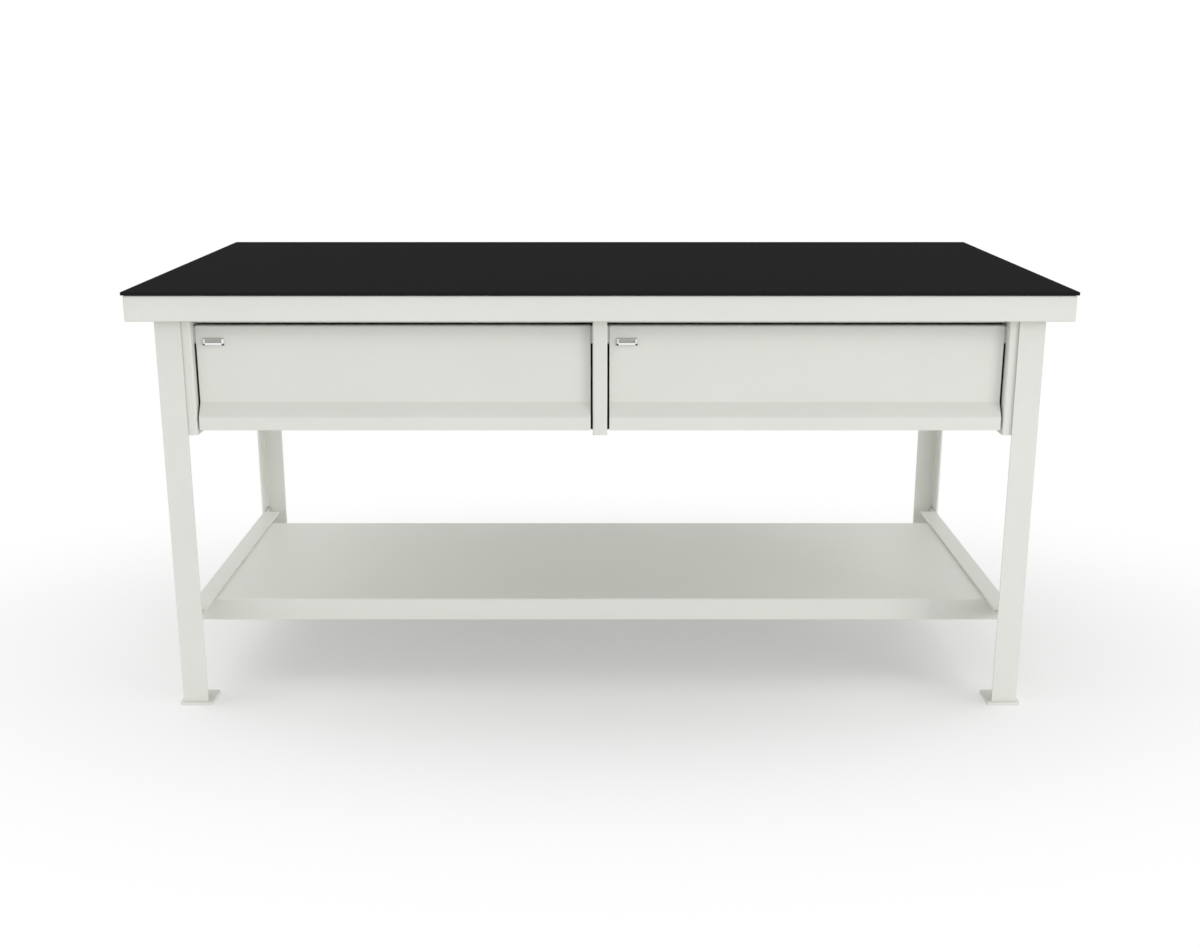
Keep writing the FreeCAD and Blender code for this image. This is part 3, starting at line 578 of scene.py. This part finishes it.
def bezel_material(metal, drawer):
    """Polished chrome with painted dark reflections in its lower corners, and a window left matte, as cast, in
    a colour that paints the reflection of the shaded overhang.
    """
    material, graph, shader = new_material(f"chrome_plate_{drawer}")
    grain = graph.effect(shared(make_drawn_grain), {"Streaks": BEZEL_STREAKS})
    edge = graph.effect(shared(make_edge_round), {"Width": PLATED_EDGE})
    low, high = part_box(f"lock_housing_{drawer}")
    place = graph.add("ShaderNodeSeparateXYZ", {"Vector": graph.place()}).outputs
    across = graph.math("ABSOLUTE", graph.math("SUBTRACT", place["X"], (low.x + high.x) / 2))
    at_end = graph.math("GREATER_THAN", across, (high.x - low.x) / 2 - BEZEL_CORNER)
    # Painted dark reflection in the lower corners of the bezel.
    corner = graph.math("MULTIPLY", at_end, graph.math("LESS_THAN", place["Z"], low.z + BEZEL_CORNER))
    sunk = graph.math("GREATER_THAN", place["Y"], low.y + WINDOW_DEPTH / 2)
    ahead = graph.math("LESS_THAN", graph.facing()["Y"], WINDOW_FACING)
    window = graph.math("MULTIPLY", sunk, ahead)
    # The window's colour is a painted reflection of the shaded overhang, on a matte finish.
    color = graph.blend(window, opaque(metal.chrome_color), opaque(metal.cast_color))
    graph.feed(shader["Base Color"], graph.blend(corner, color, opaque(metal.corner_color)))
    dull_and_shaded = graph.math("MAXIMUM", graph.math("MULTIPLY", window, CAST_DULLNESS), corner)
    graph.feed(shader["Metallic"], graph.math("SUBTRACT", 1.0, dull_and_shaded))
    shine = graph.spread(grain["Streak"], *BEZEL_ROUGHNESS, *NOISE_RANGE)
    graph.feed(shader["Roughness"], graph.math("ADD", shine, graph.math("MULTIPLY", window, CAST_ROUGHNESS)))
    graph.feed(shader["Normal"], graph.relief(grain["Streak"], FINE_RELIEF, STREAK_RELIEF, edge["Normal"]))
    return material


def cover(node, material):
    """Gives a finish to one node."""
    materials = frame["nodes"][node].data.materials
    materials.clear()
    materials.append(material)


def dress(slot, material):
    """Gives a finish to every node of a material slot."""
    nodes = [name for name, named in SLOT_OF_NODE.items() if named == slot]
    if not nodes:
        raise RuntimeError(f"no node has the material slot {slot}")
    for name in nodes:
        cover(name, material)


def settled(name):
    """A material that an earlier operator made."""
    material = bpy.data.materials.get(name)
    if material is None:
        raise RuntimeError(f"the finish {name} is not made yet")
    return material


def add_object(name, data):
    """A new object in the scene."""
    item = bpy.data.objects.new(name, data)
    bpy.context.scene.collection.objects.link(item)
    return item


def add_mesh(name, mesh, material):
    """A new object in the scene, made of built geometry with one finish."""
    data = bpy.data.meshes.new(name)
    mesh.to_mesh(data)
    mesh.free()
    data.materials.append(material)
    return add_object(name, data)


def finish_piece(name, mesh, material, body):
    """Turns built geometry into a piece that rides on a body."""
    bmesh.ops.recalc_face_normals(mesh, faces=mesh.faces)
    for face in mesh.faces:
        face.smooth = True
    piece = add_mesh(name, mesh, material)
    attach(piece, body)


STEPS_PER_RIPPLE = 3
LEAST_RIPPLES = 3
RIPPLE_DEPTH = 0.16
ARC_POINTS = 4
BEAD_FLATNESS = 0.14
# Size of a bead at its ends, and how much it grows with each ripple from there.
BEAD_END = 0.45
BEAD_GROWTH = 0.4


def lay_bead(mesh, start, end, first, second, leg, pitch):
    """Adds a rippled weld from start to end, in the corner between the directions first and second."""
    run = end - start
    ripples = max(LEAST_RIPPLES, round(run.length / pitch))
    steps = ripples * STEPS_PER_RIPPLE
    rings = []
    for step in range(steps + 1):
        from_end = min(step, steps - step) / STEPS_PER_RIPPLE
        scale = 1 - RIPPLE_DEPTH * (step % STEPS_PER_RIPPLE) / STEPS_PER_RIPPLE
        reach = leg * scale * min(1.0, BEAD_END + BEAD_GROWTH * from_end)
        centre = start + run * (step / steps)
        ring = [mesh.verts.new(centre)]
        for point in range(ARC_POINTS + 1):
            angle = math.pi / 2 * point / ARC_POINTS
            bulge = reach * (1 - BEAD_FLATNESS * math.sin(2 * angle))
            spoke = first * math.cos(angle) + second * math.sin(angle)
            ring.append(mesh.verts.new(centre + spoke * bulge))
        rings.append(ring)
    for before, after in zip(rings, rings[1:]):
        for index, corner in enumerate(before):
            following = (index + 1) % len(before)
            mesh.faces.new((corner, before[following], after[following], after[index]))
    mesh.faces.new(rings[0][::-1])
    mesh.faces.new(rings[-1])


HEAD_SIDES = 20
# Shares of the radius and of the height, from the seat up.
HEAD_PROFILE = ((1.0, 0.0), (1.0, 0.18), (0.93, 0.42), (0.74, 0.72), (0.45, 0.93))


def turn_head(mesh, seat, axis, radius, height):
    """Adds a domed rivet head on its seat."""
    turn = axis.to_track_quat("Z", "Y").to_matrix()
    rings = []
    for out, rise in HEAD_PROFILE:
        ring = []
        for side in range(HEAD_SIDES):
            angle = 2 * math.pi * side / HEAD_SIDES
            reach = out * radius
            spot = Vector((math.cos(angle) * reach, math.sin(angle) * reach, rise * height))
            ring.append(mesh.verts.new(seat + turn @ spot))
        rings.append(ring)
    for lower, upper in zip(rings, rings[1:]):
        for index, corner in enumerate(lower):
            following = (index + 1) % HEAD_SIDES
            mesh.faces.new((corner, lower[following], upper[following], upper[index]))
    crown = mesh.verts.new(seat + axis * height)
    for index, corner in enumerate(rings[-1]):
        mesh.faces.new((corner, rings[-1][(index + 1) % HEAD_SIDES], crown))
    mesh.faces.new(rings[0][::-1])


def evenly(count, low, high):
    """Places spread evenly from low to high."""
    return [low + (high - low) * index / (count - 1) for index in range(count)]


LEG_WALL = 0.00476
LEG_ROOT = 0.004
TOE_MARGIN = 0.004


def weld_leg_end(name, corner, level, away, settings):
    """Welds the inside of an angle leg to the plate at one of its ends."""
    side, face = CORNERS[corner]
    low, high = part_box(f"leg_{corner}")
    outer_x, toe_x = (low.x, high.x) if side < 0 else (high.x, low.x)
    outer_y, toe_y = (low.y, high.y) if face < 0 else (high.y, low.y)
    inner_x = outer_x - side * LEG_WALL
    inner_y = outer_y - face * LEG_WALL
    root_x, root_y = inner_x - side * LEG_ROOT, inner_y - face * LEG_ROOT
    end_x, end_y = toe_x + side * TOE_MARGIN, toe_y + face * TOE_MARGIN
    runs = (
        (Vector((inner_x, root_y, level)), Vector((inner_x, end_y, level)), Vector((-side, 0, 0))),
        (Vector((root_x, inner_y, level)), Vector((end_x, inner_y, level)), Vector((0, -face, 0))),
    )
    mesh = bmesh.new()
    for start, end, inward in runs:
        lay_bead(mesh, start, end, away, inward, settings.weld_leg, settings.ripple_pitch)
    finish_piece(name, mesh, settled("powder_coat"), "frame")


def weld_stretcher(name, settings):
    """Welds a stretcher to the rims of its two legs."""
    side = SIDES[name]
    low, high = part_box(f"stretcher_{name}")
    outer_x = low.x if side < 0 else high.x
    mesh = bmesh.new()
    for face, corner in ((FRONT, f"front_{name}"), (REAR, f"rear_{name}")):
        leg_low, leg_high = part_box(f"leg_{corner}")
        toe_y = leg_high.y if face < 0 else leg_low.y
        lay_bead(
            mesh, Vector((outer_x, toe_y, low.z + TOE_MARGIN)), Vector((outer_x, toe_y, high.z - TOE_MARGIN)),
            Vector((0, -face, 0)), Vector((side, 0, 0)), settings.weld_leg, settings.ripple_pitch)
    finish_piece(f"weld_stretcher_{name}", mesh, settled("powder_coat"), "frame")


SHELF_STITCH_MARGIN = 0.05


def weld_shelf_end(name, settings):
    """Stitches one end of the shelf to the lower rim of its stretcher."""
    side = SIDES[name]
    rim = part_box(f"stretcher_{name}")[0].z
    low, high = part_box("lower_shelf")
    end_x = low.x if side < 0 else high.x
    half = settings.stitch_length / 2
    mesh = bmesh.new()
    for y in evenly(settings.shelf_stitches, low.y + SHELF_STITCH_MARGIN, high.y - SHELF_STITCH_MARGIN):
        lay_bead(
            mesh, Vector((end_x, y - half, rim)), Vector((end_x, y + half, rim)),
            DOWN, Vector((side, 0, 0)), settings.weld_leg, settings.ripple_pitch)
    finish_piece(f"weld_shelf_{name}", mesh, settled("powder_coat"), "frame")


CHANNEL_STITCH_MARGIN = 0.04


def weld_channel(node, settings):
    """Stitches both rims of a stiffening channel to the plate above it."""
    low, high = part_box(node)
    half = settings.stitch_length / 2
    first, last = low.x + CHANNEL_STITCH_MARGIN, high.x - CHANNEL_STITCH_MARGIN
    mesh = bmesh.new()
    for rim, outward in ((low.y, FRONT), (high.y, REAR)):
        for x in evenly(settings.channel_stitches, first, last):
            lay_bead(
                mesh, Vector((x - half, rim, high.z)), Vector((x + half, rim, high.z)),
                DOWN, Vector((0, outward, 0)), settings.stitch_leg, settings.ripple_pitch)
    finish_piece(f"weld_{node}", mesh, settled("powder_coat"), "frame")


HANGER_WALL = 0.00266
TRAY_WALL = 0.0012
RIVET_MARGIN = 0.06


def rivet_runner(drawer, name, settings):
    """Rivets one runner of a drawer, to its hanger and to the side of the tray."""
    side = SIDES[name]
    outward = Vector((side, 0, 0))
    seats = (
        ("hanger", f"runner_outer_{drawer}_drawer_{name}", "frame", HANGER_WALL, outward),
        ("tray", f"runner_inner_{drawer}_drawer_{name}", f"{drawer}_drawer", TRAY_WALL, -outward),
    )
    for place, runner, body, wall, axis in seats:
        low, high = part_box(runner)
        back = high.x if axis.x > 0 else low.x
        mesh = bmesh.new()
        for y in evenly(settings.rivets_per_runner, low.y + RIVET_MARGIN, high.y - RIVET_MARGIN):
            seat = Vector((back + axis.x * wall, y, (low.z + high.z) / 2))
            turn_head(mesh, seat, axis, settings.rivet_radius, settings.rivet_height)
        row = f"rivets_{place}_{drawer}_drawer_{name}"
        finish_piece(row, mesh, settled("zinc_plate"), body)


STOP_SIZE = Vector((0.0023, 0.012, 0.029))
STOP_ROUNDING = 0.0006
STOP_SEGMENTS = 3
STOP_FIT = 0.0002
RUNNER_WALL = 0.0015
# Corners of each face of a box: along its eight corners Z changes first, then Y, then X.
BOX_FACES = ((0, 1, 3, 2), (4, 6, 7, 5), (0, 4, 5, 1), (2, 3, 7, 6), (0, 2, 6, 4), (1, 5, 7, 3))


def fit_runner_stop(drawer, name):
    """Presses a nylon stop into the front end of an outer runner member."""
    side = SIDES[name]
    low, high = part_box(f"runner_outer_{drawer}_drawer_{name}")
    web = high.x - RUNNER_WALL if side > 0 else low.x + RUNNER_WALL
    middle = Vector((
        web - side * (STOP_SIZE.x / 2 + STOP_FIT), low.y + STOP_SIZE.y / 2, (low.z + high.z) / 2))
    mesh = bmesh.new()
    corners = [
        mesh.verts.new(middle + Vector((u * STOP_SIZE.x, v * STOP_SIZE.y, w * STOP_SIZE.z)) / 2)
        for u in (-1, 1) for v in (-1, 1) for w in (-1, 1)]
    for face in BOX_FACES:
        mesh.faces.new([corners[index] for index in face])
    bmesh.ops.bevel(
        mesh, geom=mesh.edges[:], offset=STOP_ROUNDING, segments=STOP_SEGMENTS, profile=0.5, affect="EDGES")
    finish_piece(f"runner_stop_{drawer}_drawer_{name}", mesh, settled("nylon"), "frame")


ZINC = {"roughness": 0.42, "streaks": (700, 14, 700), "contrast": 0.07, "metallic": 0.35}
NICKEL = {"roughness": 0.22, "streaks": (900, 900, 900), "contrast": 0.05}
STEEL = {"roughness": 0.36, "streaks": (300, 900, 900), "contrast": 0.08}


class WORKTABLE_OT_painted_steel(bpy.types.Operator):
    """Coats the sheet steel, the angles and the foot pads"""

    bl_idname = "worktable.painted_steel"
    bl_label = "Paint Steel"

    def execute(self, context):
        paint = context.scene.work_table.paint
        # Painted shade in the hollows of the steel and of the top panel.
        hollow = (make_recess, paint.bare_width, paint.bare_color)
        dress("paint", paint_material("powder_coat", paint, paint.edge_width, *hollow))
        cover("top_panel", paint_material("powder_coat_top", paint, paint.ground_width, *hollow))
        # Painted shade below the overhang of the top, on the drawer fronts and lock strikes.
        front = paint_material(
            "powder_coat_front_shaded", paint, paint.edge_width, make_lee, paint.lee_width, paint.lee_color)
        # Painted shade inside the drawer bays.
        bay = paint_material(
            "powder_coat_bay_shaded", paint, paint.edge_width, make_recess, paint.bay_width, paint.bare_color)
        for drawer in SIDES:
            cover(f"drawer_front_{drawer}", front)
            cover(f"lock_strike_{drawer}", front)
            cover(f"drawer_bay_{drawer}", bay)
        return {"FINISHED"}


class WORKTABLE_OT_surface_sheet(bpy.types.Operator):
    """Gives the surface sheet its black grain"""

    bl_idname = "worktable.surface_sheet"
    bl_label = "Surface Sheet"

    def execute(self, context):
        dress("surface_sheet", sheet_material(context.scene.work_table.sheet))
        return {"FINISHED"}


class WORKTABLE_OT_runners(bpy.types.Operator):
    """Plates the members of the runners"""

    bl_idname = "worktable.runners"
    bl_label = "Runners"

    def execute(self, context):
        metal = context.scene.work_table.metal
        dress("runner_zinc", plated_material("zinc_plate", metal.zinc_color, **ZINC))
        return {"FINISHED"}


class WORKTABLE_OT_runner_stops(bpy.types.Operator):
    """Presses nylon stops into the front ends of the runners"""

    bl_idname = "worktable.runner_stops"
    bl_label = "Runner Stops"

    def execute(self, context):
        nylon_material(context.scene.work_table.metal.nylon_color)
        for drawer in SIDES:
            for name in SIDES:
                fit_runner_stop(drawer, name)
        return {"FINISHED"}


class WORKTABLE_OT_locks(bpy.types.Operator):
    """Plates the lock bezels and finishes the plugs, cams, nuts and screws"""

    bl_idname = "worktable.locks"
    bl_label = "Locks"

    def execute(self, context):
        metal = context.scene.work_table.metal
        for drawer in SIDES:
            cover(f"lock_housing_{drawer}", bezel_material(metal, drawer))
        dress("plug_nickel", plated_material("plug_nickel", metal.plug_color, **NICKEL))
        dress("lock_steel", plated_material("lock_steel", metal.steel_color, **STEEL))
        return {"FINISHED"}


class WORKTABLE_OT_weld_beads(bpy.types.Operator):
    """Lays the welds of the legs, stretchers, shelf and stiffeners"""

    bl_idname = "worktable.weld_beads"
    bl_label = "Welds"

    def execute(self, context):
        settings = context.scene.work_table.fitting
        for corner in CORNERS:
            low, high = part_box(f"leg_{corner}")
            weld_leg_end(f"weld_foot_{corner}", corner, low.z, UP, settings)
            weld_leg_end(f"weld_top_{corner}", corner, high.z, DOWN, settings)
        for name in SIDES:
            weld_stretcher(name, settings)
            weld_shelf_end(name, settings)
        for node in ("top_stiffener", "shelf_stiffener"):
            weld_channel(node, settings)
        return {"FINISHED"}


class WORKTABLE_OT_runner_rivets(bpy.types.Operator):
    """Rivets the runners to the hangers and the trays"""

    bl_idname = "worktable.runner_rivets"
    bl_label = "Runner Rivets"

    def execute(self, context):
        settings = context.scene.work_table.fitting
        for drawer in SIDES:
            for name in SIDES:
                rivet_runner(drawer, name, settings)
        return {"FINISHED"}


def seen_directly(graph):
    """One for what the camera sees straight, in a reflection or through glass, otherwise nothing."""
    path = graph.add("ShaderNodeLightPath").outputs
    mirrored = graph.math("MAXIMUM", path["Is Glossy Ray"], path["Is Transmission Ray"])
    return graph.math("MAXIMUM", path["Is Camera Ray"], mirrored)


WHITE = (1.0, 1.0, 1.0, 1.0)
# Squeezes the floor's white edge to the long shape of the table.
TABLE_SHAPE = (0.6, 1.0, 1.0)


def floor_material(stage):
    """Pale floor that keeps the table's shadow, turns white farther out and is clear from below."""
    material = bpy.data.materials.new("studio_floor")
    material.use_nodes = True
    graph = Graph(material.node_tree)
    matte = graph.add("ShaderNodeBsdfDiffuse", {"Color": opaque(stage.floor_color)}).outputs["BSDF"]
    glow = graph.add("ShaderNodeEmission", {"Color": WHITE, "Strength": 1.0}).outputs["Emission"]
    squeezed = graph.add("ShaderNodeVectorMath", operation="MULTIPLY")
    graph.feed(squeezed.inputs[0], graph.place())
    graph.feed(squeezed.inputs[1], TABLE_SHAPE)
    away = graph.add("ShaderNodeVectorMath", operation="LENGTH")
    graph.feed(away.inputs[0], squeezed.outputs["Vector"])
    far = graph.add("ShaderNodeMapRange", {
        "Value": away.outputs["Value"], "From Min": stage.shadow_reach, "From Max": stage.white_from,
        "To Min": stage.shadow_lift, "To Max": 1.0}, interpolation_type="SMOOTHSTEP").outputs["Result"]
    mixed = graph.add("ShaderNodeMixShader", {"Fac": graph.math("MULTIPLY", far, seen_directly(graph))})
    graph.feed(mixed.inputs[1], matte)
    graph.feed(mixed.inputs[2], glow)
    underside = graph.add("ShaderNodeNewGeometry").outputs["Backfacing"]
    below = graph.add("ShaderNodeMixShader", {"Fac": underside})
    graph.feed(below.inputs[1], mixed.outputs["Shader"])
    graph.feed(below.inputs[2], graph.add("ShaderNodeBsdfTransparent").outputs["BSDF"])
    output = graph.add("ShaderNodeOutputMaterial")
    graph.feed(output.inputs["Surface"], below.outputs["Shader"])
    return material


FLOOR_SIDES = 96


def make_floor(stage):
    """A wide round floor under the table."""
    mesh = bmesh.new()
    bmesh.ops.create_circle(mesh, cap_ends=True, radius=stage.floor_radius, segments=FLOOR_SIDES)
    floor = add_mesh("floor", mesh, floor_material(stage))


# Upward parts of a direction, from the light of the horizon to that of the zenith.
SKY_HEIGHTS = (0.0, 0.7)


def make_sky(stage):
    """Light from the walls and the ceiling, and white where it is seen directly."""
    world = bpy.data.worlds.new("studio_sky")
    world.use_nodes = True
    graph = Graph(world.node_tree)
    direction = graph.add("ShaderNodeTexCoord").outputs["Generated"]
    height = graph.add("ShaderNodeSeparateXYZ", {"Vector": direction}).outputs["Z"]
    lit = graph.spread(height, stage.horizon_strength, stage.zenith_strength, *SKY_HEIGHTS)
    strength = graph.math("MAXIMUM", lit, seen_directly(graph))
    sky = graph.add("ShaderNodeBackground", {"Color": WHITE, "Strength": strength})
    output = graph.add("ShaderNodeOutputWorld")
    graph.feed(output.inputs["Surface"], sky.outputs["Background"])
    bpy.context.scene.world = world


def hang_lamp(name, place, target, size, power):
    """A rectangular soft lamp that points at a target."""
    data = bpy.data.lights.new(name, "AREA")
    data.shape = "RECTANGLE"
    data.size, data.size_y = size
    data.energy = power
    lamp = add_object(name, data)
    lamp.location = place
    lamp.rotation_euler = (Vector(target) - Vector(place)).to_track_quat("-Z", "Y").to_euler()


SENSOR_WIDTH = 36.0


def set_camera(stage):
    """The camera at the photograph's place and angle."""
    data = bpy.data.cameras.new("camera")
    data.sensor_fit = "HORIZONTAL"
    data.sensor_width = SENSOR_WIDTH
    data.lens = stage.lens
    camera = add_object("camera", data)
    camera.location = stage.camera_place
    camera.rotation_euler = (math.pi / 2 - stage.camera_tilt, 0, 0)
    bpy.context.scene.camera = camera


# Places, targets and sizes of the lamps, in metres.
KEY_LAMP = {"place": (9.96, -8.36, 1.9), "target": (0, -0.4, 0.6), "size": (5.0, 5.0)}
TOP_LAMP = {"place": (-0.8, 0.0, 5.2), "target": (0, 0, 0), "size": (5.0, 4.0)}
SIDE_LAMP = {"target": (0, 0, 0.2), "size": (2.0, 2.0)}
SIDE_LAMP_REACH = 2.7
SIDE_LAMP_HEIGHT = 2.8


class WORKTABLE_OT_stage(bpy.types.Operator):
    """Sets up the floor, the light and the camera"""

    bl_idname = "worktable.stage"
    bl_label = "Stage"

    def execute(self, context):
        stage = context.scene.work_table.stage
        make_floor(stage)
        make_sky(stage)
        hang_lamp("key_lamp", power=stage.key_power, **KEY_LAMP)
        hang_lamp("top_lamp", power=stage.top_power, **TOP_LAMP)
        for name, side in SIDES.items():
            place = (side * SIDE_LAMP_REACH, 0.0, SIDE_LAMP_HEIGHT)
            hang_lamp(f"{name}_lamp", place, power=stage.side_power, **SIDE_LAMP)
        set_camera(stage)
        context.scene.view_settings.view_transform = "Standard"
        return {"FINISHED"}


OPERATORS = (
    WORKTABLE_OT_painted_steel,
    WORKTABLE_OT_surface_sheet,
    WORKTABLE_OT_runners,
    WORKTABLE_OT_runner_stops,
    WORKTABLE_OT_locks,
    WORKTABLE_OT_weld_beads,
    WORKTABLE_OT_runner_rivets,
    WORKTABLE_OT_stage,
)


class WORKTABLE_PT_panel(bpy.types.Panel):
    """Lists the steps that dress the table"""

    bl_label = "Work Table"
    bl_idname = "WORKTABLE_PT_panel"
    bl_space_type = "VIEW_3D"
    bl_region_type = "UI"
    bl_category = "Work Table"

    def draw(self, context):
        for operator in OPERATORS:
            self.layout.operator(operator.bl_idname)


CLASSES = (
    PaintSettings, SheetSettings, MetalSettings, FittingSettings, StageSettings, WorkTableSettings,
    *OPERATORS, WORKTABLE_PT_panel,
)


def register():
    """Registers the classes and the settings."""
    for item in CLASSES:
        bpy.utils.register_class(item)
    bpy.types.Scene.work_table = PointerProperty(type=WorkTableSettings)


def unregister():
    """Removes the settings and the classes."""
    del bpy.types.Scene.work_table
    for item in reversed(CLASSES):
        bpy.utils.unregister_class(item)


def main():
    """Dresses the table step by step."""
    register()
    bpy.ops.worktable.painted_steel()
    bpy.ops.worktable.surface_sheet()
    bpy.ops.worktable.runners()
    bpy.ops.worktable.runner_stops()
    bpy.ops.worktable.locks()
    bpy.ops.worktable.weld_beads()
    bpy.ops.worktable.runner_rivets()
    bpy.ops.worktable.stage()


if __name__ == "__main__":
    main()
